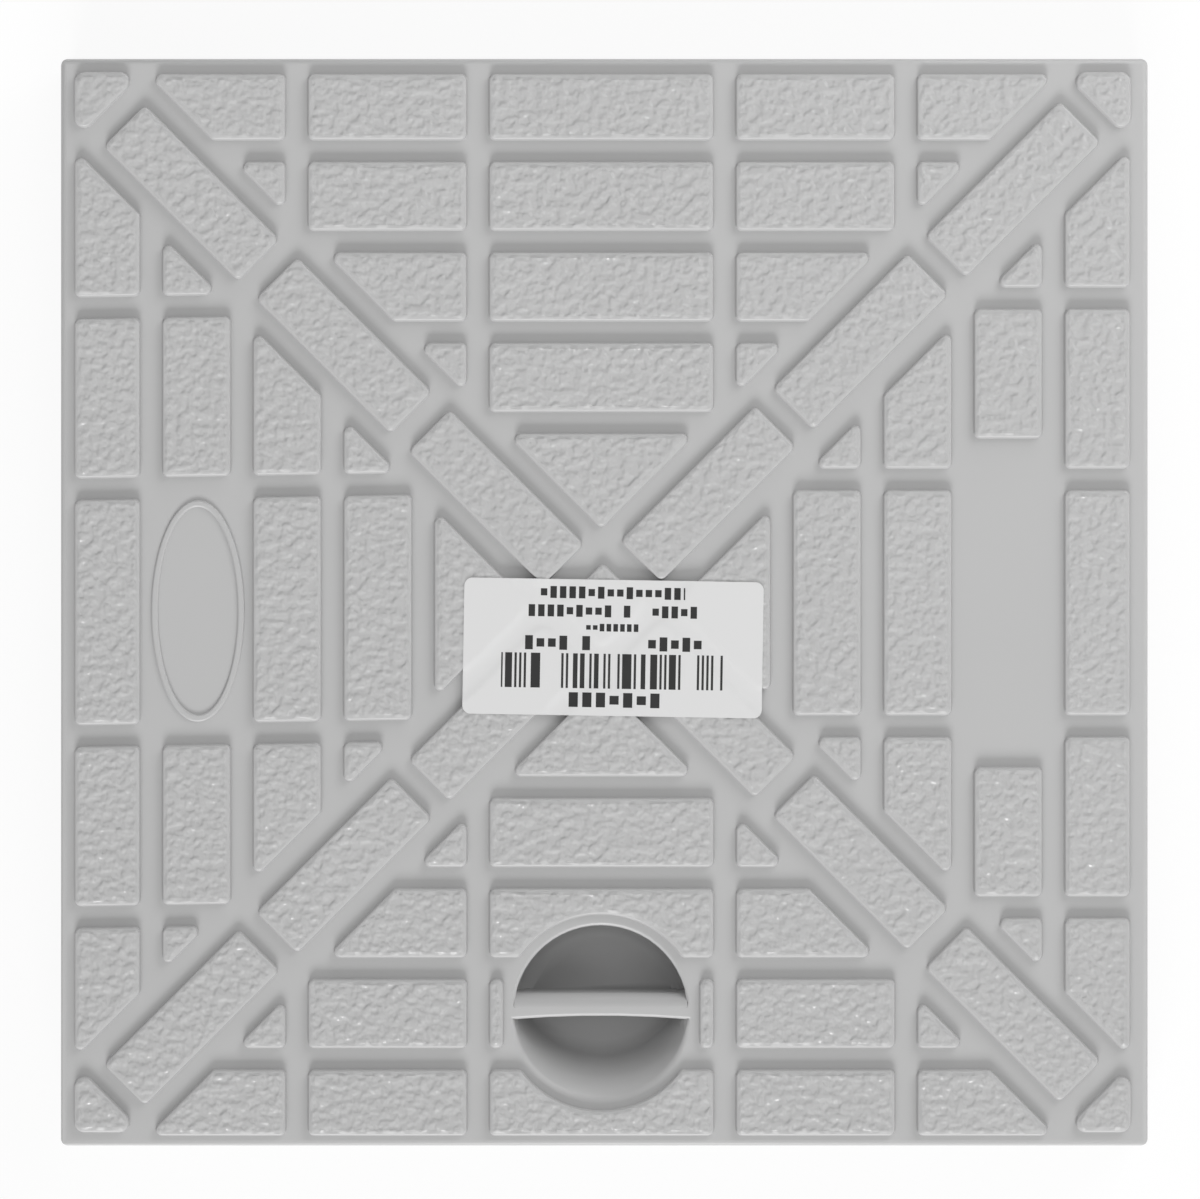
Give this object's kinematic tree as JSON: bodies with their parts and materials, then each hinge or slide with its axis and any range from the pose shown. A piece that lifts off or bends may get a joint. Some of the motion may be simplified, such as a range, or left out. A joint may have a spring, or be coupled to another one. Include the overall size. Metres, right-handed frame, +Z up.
{
  "type": "inspection cover",
  "caption": "Square plastic inspection cover with grained tread pads, a round finger hold with a grip bar, a ribbed underside and a paper label.",
  "frame": {"origin": "middle of the plane that the underside's rim stands on", "axes": "+Z up through the tread, -Y towards the finger hold, -X towards the oval ring"},
  "size_m": [0.2, 0.2, 0.0215],
  "materials": {
    "cover": "light grey moulded polypropylene, satin grooves and pebble-grained pads",
    "label_paper": null
  },
  "bodies": {
    "root": {"cover": "cover", "sticker": "label_paper"}
  },
  "joints": []
}
